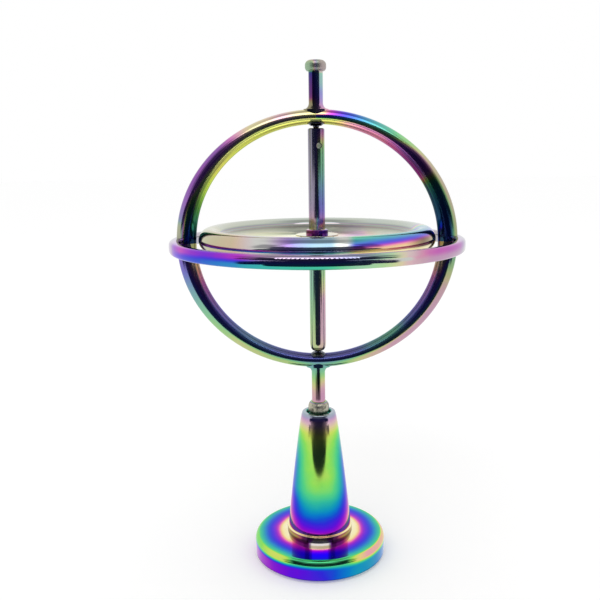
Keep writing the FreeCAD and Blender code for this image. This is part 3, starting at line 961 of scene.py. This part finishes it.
def ring_tree():
    """Geometry nodes for a ring whose tube follows two ovals and has rounded edges."""
    tree = bpy.data.node_groups.new("Oval ring", "GeometryNodeTree")
    sockets = {"Outer Half Width": "Float", "Outer Half Height": "Float",
               "Inner Half Width": "Float", "Inner Half Height": "Float",
               "Depth": "Float", "Fullness": "Float", "Steps Round": "Int", "Steps Across": "Int",
               "Centre": "Vector", "Turn": "Rotation", "Finish": "Material"}
    for name, kind in sockets.items():
        tree.interface.new_socket(name, in_out="INPUT", socket_type="NodeSocket" + kind)
    tree.interface.new_socket("Ring", in_out="OUTPUT", socket_type="NodeSocketGeometry")
    nodes = Nodes(tree)
    source = tree.nodes.new("NodeGroupInput")
    given = {name: Value(nodes, source.outputs[name]) for name in sockets}

    sheet = nodes.add("GeometryNodeMeshGrid", None, {
        "Size X": 1.0, "Size Y": 1.0,
        "Vertices X": given["Steps Round"] + 1, "Vertices Y": given["Steps Across"] + 1})
    around, across, _ = nodes.parted(nodes.add("GeometryNodeInputPosition"))
    turn = (around + 0.5) * math.tau
    corner = (across + 0.5) * math.tau
    cos_turn, sin_turn = turn.maths("COSINE"), turn.maths("SINE")
    cos_corner, sin_corner = corner.maths("COSINE"), corner.maths("SINE")

    outer_x, outer_z = given["Outer Half Width"] * cos_turn, given["Outer Half Height"] * sin_turn
    inner_x, inner_z = given["Inner Half Width"] * cos_turn, given["Inner Half Height"] * sin_turn
    wide_x, wide_z = (outer_x - inner_x) / 2, (outer_z - inner_z) / 2

    def full(part):
        """1 leaves the tube's section an ellipse, less fills its corners out."""
        return part.maths("SIGN") * abs(part) ** given["Fullness"]

    out = full(cos_corner)
    deep = full(sin_corner) * given["Depth"] / 2
    upright = nodes.joined((outer_x + inner_x) / 2 + wide_x * out, deep,
                           (outer_z + inner_z) / 2 + wide_z * out)
    tilted = nodes.add("FunctionNodeRotateVector", None,
                       {"Vector": upright, "Rotation": given["Turn"]})
    place = nodes.add("ShaderNodeVectorMath", {"operation": "ADD"},
                      {0: tilted, 1: given["Centre"]})
    tube = nodes.add("GeometryNodeSetPosition", None, {"Geometry": sheet, "Position": place})
    closed = nodes.add("GeometryNodeMergeByDistance", None, {"Geometry": tube, "Distance": 1e-6})
    real = nodes.add("GeometryNodeRealizeInstances", None, {"Geometry": closed})
    finished = nodes.add("GeometryNodeSetMaterial", None,
                         {"Geometry": real, "Material": given["Finish"]})
    nodes.add("NodeGroupOutput", None, {"Ring": finished})
    return tree


def ring_piece(name, outer, inner, depth, fullness, height, tilt, material):
    """Ring from the oval ring tree, as a plain mesh with its faces pointing outwards. Its outer
    and its inner oval are given by half their width and half their height."""
    amounts = {"Outer Half Width": outer[0], "Outer Half Height": outer[1],
               "Inner Half Width": inner[0], "Inner Half Height": inner[1],
               "Depth": depth, "Fullness": fullness, "Steps Round": 1200, "Steps Across": 72,
               "Centre": (0.0, 0.0, height), "Turn": (tilt, 0.0, 0.0), "Finish": material}
    tree = bpy.data.node_groups.get("Oval ring") or ring_tree()
    seed = placed(name, bpy.data.meshes.new(name))
    maker = seed.modifiers.new("ring", "NODES")
    maker.node_group = tree
    for item in tree.interface.items_tree:
        if item.in_out == "INPUT":
            maker[item.identifier] = amounts[item.name]
    mesh = plain_mesh(seed)
    bpy.data.objects.remove(seed)
    return settled(name, mesh)


class GYROSCOPE_OT_upright_ring(bpy.types.Operator):
    """Oval upright ring, thicker at its sides than at the poles"""
    bl_idname = "gyroscope.upright_ring"
    bl_label = "Upright Ring"

    def execute(self, context):
        r = context.scene.gyroscope.rings
        material = film_metal("film_on_upright_ring", upright_film, lengthwise=True)
        ring = ring_piece("upright_oval", (r.outer_x, r.outer_z), (r.inner_x, r.inner_z),
                          r.depth, r.fullness, r.centre_height, 0.0, material)
        dress(ring, ["upright_ring"], "gyroscope_frame", material)
        return {"FINISHED"}


class GYROSCOPE_OT_level_ring(bpy.types.Operator):
    """Level ring with a pin through each crossing"""
    bl_idname = "gyroscope.level_ring"
    bl_label = "Level Ring and Pins"

    def execute(self, context):
        r = context.scene.gyroscope.rings
        level = r.centre_height - r.level_drop
        material = film_metal("film_on_level_ring", level_film)
        ring = ring_piece("level_band", (r.level_outer, r.level_outer),
                          (r.level_inner, r.level_inner), r.level_height, r.level_fullness,
                          level, math.pi / 2, material)
        holes = [(Vector((side * (r.level_inner - MM), 0, level)),
                  Vector((side * (r.level_outer + MM), 0, level)), r.pin_hole)
                 for side in (-1, 1)]
        bored(ring, holes)
        dress(ring, ["level_ring"], "gyroscope_frame", material)

        rounding = 0.1 * MM
        edge = Outline(0, r.pin_inner).across(r.pin_radius).up(r.pin_outer - rounding)
        edge.bend(r.pin_radius - rounding, r.pin_outer, steps=4).across(0)
        for side, name in ((1, "right"), (-1, "left")):
            pin = turned(name + "_crossing_pin", edge, steps=48)
            for vertex in pin.data.vertices:
                a, b, c = vertex.co
                vertex.co = (side * c, side * a, b + level)
            dress(pin, [name + "_ring_pin"], "gyroscope_frame", material)
        return {"FINISHED"}


def finial_outline(r, stem, knob_radius, knob_height, knob_round):
    """Stem and knob above the upper pole."""
    pole = r.centre_height + r.outer_z
    neck = pole + stem
    end = neck + knob_height
    corner = knob_radius - knob_round
    rise = (1 - r.neck_cut) * knob_round
    shoulder = corner + math.sqrt(knob_round ** 2 - rise ** 2)
    line = Outline(0, pole - r.stem_root).across(r.stem_radius).up(pole)
    line.up(pole + r.flare_height, steps=24).up(neck, steps=8).across(shoulder)
    line.swing(knob_radius, neck + rise, (corner, neck + rise), steps=12)
    if end - knob_round - neck - rise > 0.001 * MM:
        line.up(end - knob_round)
    return line.bend(corner, end, steps=16).across(0)


class GYROSCOPE_OT_finials(bpy.types.Operator):
    """Stems and knobs above and below the upright ring, each spread along the ring at its root"""
    bl_idname = "gyroscope.finials"
    bl_label = "Stems and Knobs"

    def execute(self, context):
        r = context.scene.gyroscope.rings
        material = film_metal("film_on_stems", finial_film)
        top = finial_outline(r, r.upper_stem, r.top_knob_radius, r.top_knob_height,
                             r.top_knob_round)
        foot = finial_outline(r, r.lower_stem, r.foot_knob_radius, r.foot_knob_height,
                              r.foot_knob_round).mirrored(r.centre_height)
        for name, node, outline in (("top_stem_and_knob", "top_finial", top),
                                    ("foot_stem_and_knob", "foot_finial", foot)):
            piece = turned(name, outline, steps=144)
            for vertex in piece.data.vertices:
                height = abs(vertex.co.z - r.centre_height) - r.outer_z
                rise = min(max(height / r.flare_height, 0.0), 1.0)
                spread = r.flare_spread * (1 - math.sqrt(1 - (1 - rise) ** 2))
                vertex.co.x *= 1 + spread / r.stem_radius
            dress(piece, [node], "gyroscope_frame", material)
        return {"FINISHED"}


class GYROSCOPE_OT_pivots(bpy.types.Operator):
    """Pointed pivot screws and the lock nuts that are sunk into the poles"""
    bl_idname = "gyroscope.pivots"
    bl_label = "Pivots and Lock Nuts"

    def execute(self, context):
        r = context.scene.gyroscope.rings
        finish = context.scene.gyroscope.finish
        steel = plain_metal("dark_steel", tuple(finish.pivot_steel), 0.12, 5.0)
        centre = r.centre_height
        point = Outline(0, centre + r.pivot_tip).across(r.pivot_tip_radius)
        point.to(r.pivot_radius, centre + r.pivot_shoulder).up(centre + r.pivot_end).across(0)
        nut = self.nut_outline(r)
        half_side = math.pi / 6

        def hexagon(turn):
            return r.nut_flats / 2 / math.cos(turn % (2 * half_side) - half_side)

        for name, pivot_line, nut_line in (
                ("upper", point, nut), ("lower", point.mirrored(centre), nut.mirrored(centre))):
            pivot = turned(name + "_pivot", pivot_line, steps=64)
            dress(pivot, [name + "_pivot_screw"], "gyroscope_frame", steel)
            lock = turned(name + "_nut", nut_line, steps=180, sharp=25.0, limit=hexagon)
            dress(lock, [name + "_lock_nut"], "gyroscope_frame", steel)
        return {"FINISHED"}

    def nut_outline(self, r, rows=16):
        """Nut round the pivot's bore. Its side towards the axle is turned to a cone."""
        seat = r.centre_height + r.inner_z + r.nut_seat
        full = seat - r.nut_rim
        face = seat - r.nut_thickness
        corner = r.nut_flats / math.sqrt(3)
        play = 0.02 * MM
        bore = r.pivot_radius + play
        line = Outline(bore, seat)
        line.points += [(corner, seat), (corner, full)]
        line.points += [(mix(i / rows, corner, r.nut_small_radius), mix(i / rows, full, face))
                        for i in range(1, rows + 1)]
        line.points.append((bore, face))
        return line


# ---- pieces of the rotor -------------------------------------------------------------

class GYROSCOPE_OT_axle(bpy.types.Operator):
    """Axle with its string hole and a bearing cup in each end"""
    bl_idname = "gyroscope.axle"
    bl_label = "Axle and Bearings"

    def execute(self, context):
        scene = context.scene.gyroscope
        r = scene.rotor
        centre = scene.rings.centre_height
        low, high = centre - r.axle_half, centre + r.axle_half
        pocket = r.cup_radius + r.bore
        deep = r.cup_length + r.bore
        hole, hole_zone = high - r.string_drop, 1.5 * MM
        line = Outline(0, low + deep).across(pocket).up(low).across(r.axle_nose)
        line.bend(r.axle_radius, low + r.axle_taper, steps=16, level_first=True)
        line.up(hole - hole_zone, steps=24).up(hole + hole_zone, steps=16)
        line.up(high - r.axle_chamfer, steps=4).to(r.axle_radius - r.axle_chamfer, high)
        line.across(pocket).up(high - deep).across(0)
        axle = turned("axle_rod", line, steps=128)
        across = Vector((math.sin(r.string_turn), -math.cos(r.string_turn), 0))
        middle = Vector((0, 0, hole))
        reach = across * 2 * r.axle_radius
        bored(axle, [(middle - reach, middle + reach, r.string_hole)])
        dress(axle, ["axle"], "rotor", film_metal("film_on_axle", axle_film))

        brass = plain_metal("bearing_brass", tuple(scene.finish.brass), 0.2, 5.0)
        cup = Outline(0, high - r.cup_length).across(r.cup_radius).up(high).across(r.cup_mouth)
        cup.to(r.cup_floor, high - r.cup_depth).across(0)
        for name, outline in (("upper", cup), ("lower", cup.mirrored(centre))):
            bearing = turned(name + "_bearing", outline, steps=96)
            dress(bearing, [name + "_bearing_cup"], "rotor", brass)
        return {"FINISHED"}


class GYROSCOPE_OT_rotor(bpy.types.Operator):
    """Dished rotor disc with its bead rim, and the collars on its hub"""
    bl_idname = "gyroscope.rotor"
    bl_label = "Rotor Disc and Collars"

    def execute(self, context):
        scene = context.scene.gyroscope
        r = scene.rotor
        level = scene.rings.centre_height + r.raised
        bore = r.axle_radius + r.bore
        bead = r.rim_radius - r.bead_radius
        fillet_z = r.web_rim + r.web_fillet
        to_fillet = r.bead_radius + r.web_fillet
        back = math.sqrt(to_fillet ** 2 - fillet_z ** 2)
        touch = r.bead_radius / to_fillet
        web_end = bead - back
        sag = 2 * r.web_middle - (r.web_hub + r.web_rim) / 2
        third = (web_end - r.hub_radius) / 3
        pull = (r.hub_radius + third, level + (r.web_hub + 2 * sag) / 3)
        push = (web_end - third, level + (r.web_rim + 2 * sag) / 3)

        upper = Outline(bore, level).up(level + r.hub_half)
        upper.across(r.hub_radius, steps=4).up(level + r.web_hub)
        upper.curve(pull, push, (web_end, level + r.web_rim), steps=32)
        upper.swing(bead - back * touch, level + fillet_z * touch,
                    (web_end, level + fillet_z), steps=10)
        upper.swing(r.rim_radius, level, (bead, level), steps=40, clockwise=True)
        lower = upper.mirrored(level)
        upper.points += lower.points[-2:0:-1]
        disc = turned("rotor_dish", upper, steps=320)
        dress(disc, ["rotor_disc"], "rotor",
              film_metal("film_on_rotor", rotor_film))

        foot = level + r.hub_half
        head = foot + r.collar_height
        edge = Outline(bore, foot).across(r.collar_radius).up(head - r.collar_chamfer)
        edge.to(r.collar_radius - r.collar_chamfer, head).across(bore)
        material = film_metal("film_on_collars", collar_film)
        for name, outline in (("upper", edge), ("lower", edge.mirrored(level))):
            collar = turned(name + "_collar", outline, steps=128)
            dress(collar, [name + "_hub_collar"], "rotor", material)
        return {"FINISHED"}


# ---- studio --------------------------------------------------------------------------

# Strengths of light, of which 1 is white.
SHEET_IN_METAL = 0.97
SHEET_LIFT = 0.22
TENT_IN_METAL = 0.97
PANEL_EXTRA = 1.3
CEILING_LOSS = 0.45
TENT_FOR_CAMERA = 1.0
TENT_ON_OBJECT = 0.92
DUSK_COLOUR = (0.30, 0.36, 1.0, 1.0)
DUSK_LIGHT = 0.07
BULB_LIGHT = 6.0
# How much of the tent's light the sill and the wings round the opening keep off.
SILL_SHADE = 0.92
WING_SHADE = 0.55

# The camera, whose focal length was fitted in pixels of the frame.
FRAME_WIDTH = 600
FOCAL_PIXELS = 751.6
SENSOR_WIDTH = 36.0
CAMERA_SHIFT = -0.0295
CAMERA_PLACE = (0.0, -166.87 * MM, 92.91 * MM)
CAMERA_TILT = 10.83
CAMERA_ROLL = -0.54


def studio_floor(studio):
    """White sheet. Metal sees only the part of it that lies inside the tent, which ends in a
    curve in front and at both sides. Places are millimetres."""
    half = studio.floor_half
    height = -0.05 * MM
    corners = [(-half, -half, height), (half, -half, height), (half, half, height),
               (-half, half, height)]
    floor = placed("floor", new_mesh("floor", corners, [(0, 1, 2, 3)]))

    material, nodes = new_material("white_sheet")
    x, y, _ = nodes.parted(nodes.place())
    front_end = 120 + x * x / 300
    past_sides = abs(x).step(225.0, 260.0) * 600
    past = (-y - front_end + past_sides).step(-6.0, 6.0)
    sheet = nodes.add("ShaderNodeBsdfDiffuse", None, {"Color": (*studio.floor_colour, 1.0)})
    lit = nodes.add("ShaderNodeAddShader", None, {0: sheet, 1: nodes.glow(SHEET_LIFT)})
    seen = nodes.mixed_shader(nodes.light_path("Is Camera Ray"), sheet, lit)
    in_metal = nodes.mixed_shader(past, nodes.glow(SHEET_IN_METAL), nodes.clear())
    nodes.output(nodes.mixed_shader(nodes.light_path("Is Glossy Ray"), seen, in_metal))
    floor.data.materials.append(material)


def studio_tent(studio):
    """White tent, open and unlit at the front, with a lit panel above the opening. Its parts are
    bounded by degrees to the side of the front and degrees above the horizon."""
    world = bpy.data.worlds.new("white_tent")
    bpy.context.scene.world = world
    world.use_nodes = True
    nodes = Nodes(world.node_tree)
    x, y, z = nodes.parted(nodes.add("ShaderNodeTexCoord", out="Generated"))
    side = abs(x.arctan2(-y)) * math.degrees(1)
    up = z.maths("ARCSINE") * math.degrees(1)

    below_horizon = 6.0
    wide = side / math.degrees(studio.gap_angle)
    tall = (up + below_horizon) / math.degrees(studio.gap_top)
    opening = (wide ** 4 + tall ** 4).fall(0.8, 1.2)
    sill = side.fall(44.0, 52.0) * up.band(6.0, 12.0, 33.0, 36.0)
    wings = (side - 34).step(-2.0, 2.0) * side.fall(60.0, 70.0) * up.band(12.0, 18.0, 42.0, 52.0)
    dark = opening | sill * SILL_SHADE | wings * WING_SHADE
    panel_edge = 46 - (up - 36) * 0.35
    panel = (side - panel_edge).fall(-2.0, 2.0) * up.band(33.0, 36.0, 60.0, 78.0)
    ceiling = up.step(55.0, 80.0)
    in_metal = (TENT_IN_METAL * (1 - dark) + PANEL_EXTRA * panel * (1 - dark)
                - CEILING_LOSS * ceiling)

    glossy = nodes.light_path("Is Glossy Ray")
    even = mix(nodes.light_path("Is Camera Ray"), TENT_ON_OBJECT, TENT_FOR_CAMERA)
    light = nodes.add("ShaderNodeBackground", None, {"Color": (1.0, 1.0, 1.0, 1.0),
                                                     "Strength": mix(glossy, even, in_metal)})
    dusk = nodes.add("ShaderNodeBackground", None, {"Color": DUSK_COLOUR, "Strength": DUSK_LIGHT})
    both = nodes.add("ShaderNodeAddShader", None, {0: light, 1: dusk})
    nodes.add("ShaderNodeOutputWorld", None,
              {"Surface": nodes.mixed_shader(glossy * dark, light, both)})


def studio_bulbs(studio):
    """Row of slim lamps in front of the level ring. Only metal close to them mirrors them."""
    vertices = []
    faces = []
    for i in range(studio.bulbs):
        middle = (i - (studio.bulbs - 1) / 2) * studio.bulb_step
        for across, up in ((-1, -1), (1, -1), (1, 1), (-1, 1)):
            vertices.append((middle + across * studio.bulb_width / 2, -studio.bulb_distance,
                             studio.bulb_height + up * studio.bulb_length / 2))
        faces.append([4 * i + corner for corner in (3, 2, 1, 0)])
    row = placed("bulb_row", new_mesh("bulb_row", vertices, faces))

    material, nodes = new_material("bulb_light")
    close = nodes.light_path("Ray Length") < studio.bulb_reach
    nodes.output(nodes.mixed_shader(close, nodes.clear(), nodes.glow(BULB_LIGHT)))
    row.data.materials.append(material)
    row.visible_camera = row.visible_diffuse = row.visible_shadow = False


def studio_lamp(studio):
    """Soft lamp above the front, for a gentle shadow. Metal sees the tent's panel instead."""
    lamp = bpy.data.lights.new("front_lamp", "AREA")
    lamp.shape = "RECTANGLE"
    lamp.size = 0.5
    lamp.size_y = 0.35
    lamp.energy = studio.lamp_power
    holder = placed("front_lamp", lamp)
    holder.location = (-0.15, -0.45, 0.6)
    toward = Vector((0.0, 0.0, 0.05)) - Vector(holder.location)
    holder.rotation_euler = toward.to_track_quat("-Z", "Y").to_euler()
    holder.visible_glossy = False


def studio_camera():
    """Camera a little above the rings, tilted down, with the axis right of the middle."""
    lens = bpy.data.cameras.new("camera")
    lens.sensor_fit = "HORIZONTAL"
    lens.sensor_width = SENSOR_WIDTH
    lens.lens = SENSOR_WIDTH * FOCAL_PIXELS / FRAME_WIDTH
    lens.shift_x = CAMERA_SHIFT
    lens.clip_start = 0.005
    lens.clip_end = 20.0
    camera = placed("camera", lens)
    tilt = Matrix.Rotation(math.radians(90 - CAMERA_TILT), 4, "X")
    roll = Matrix.Rotation(math.radians(CAMERA_ROLL), 4, "Z")
    camera.matrix_world = Matrix.Translation(CAMERA_PLACE) @ tilt @ roll
    bpy.context.scene.camera = camera


class GYROSCOPE_OT_studio(bpy.types.Operator):
    """White floor and tent, soft lamp and camera"""
    bl_idname = "gyroscope.studio"
    bl_label = "Studio"

    def execute(self, context):
        studio = context.scene.gyroscope.studio
        for build in (studio_floor, studio_tent, studio_bulbs, studio_lamp):
            build(studio)
        studio_camera()
        context.scene.view_settings.view_transform = "Standard"
        return {"FINISHED"}


# ---- add-on --------------------------------------------------------------------------

STEPS = ("stand_base", "column", "base_screw", "upright_ring", "level_ring", "finials",
         "pivots", "axle", "rotor", "studio")


class GYROSCOPE_PT_panel(bpy.types.Panel):
    """Builds the gyroscope piece by piece"""
    bl_idname = "GYROSCOPE_PT_panel"
    bl_label = "Gyroscope on Stand"
    bl_space_type = "VIEW_3D"
    bl_region_type = "UI"
    bl_category = "Gyroscope"

    def draw(self, context):
        given = context.scene.gyroscope
        for step in STEPS:
            self.layout.operator("gyroscope." + step)
        self.layout.prop(given, "round_steps")
        for group in (given.finish, given.studio, given.stand, given.rings, given.rotor):
            box = self.layout.box()
            for name in group.__annotations__:
                box.prop(group, name)


CLASSES = (
    StandSettings, FrameSettings, RotorSettings, FinishSettings, StudioSettings,
    GyroscopeSettings, GYROSCOPE_OT_stand_base, GYROSCOPE_OT_column, GYROSCOPE_OT_base_screw,
    GYROSCOPE_OT_upright_ring, GYROSCOPE_OT_level_ring, GYROSCOPE_OT_finials,
    GYROSCOPE_OT_pivots, GYROSCOPE_OT_axle, GYROSCOPE_OT_rotor, GYROSCOPE_OT_studio,
    GYROSCOPE_PT_panel,
)


def register():
    for cls in CLASSES:
        bpy.utils.register_class(cls)
    bpy.types.Scene.gyroscope = PointerProperty(type=GyroscopeSettings)


def unregister():
    del bpy.types.Scene.gyroscope
    for cls in reversed(CLASSES):
        bpy.utils.unregister_class(cls)


def main():
    register()
    for step in STEPS:
        getattr(bpy.ops.gyroscope, step)()


if __name__ == "__main__":
    main()
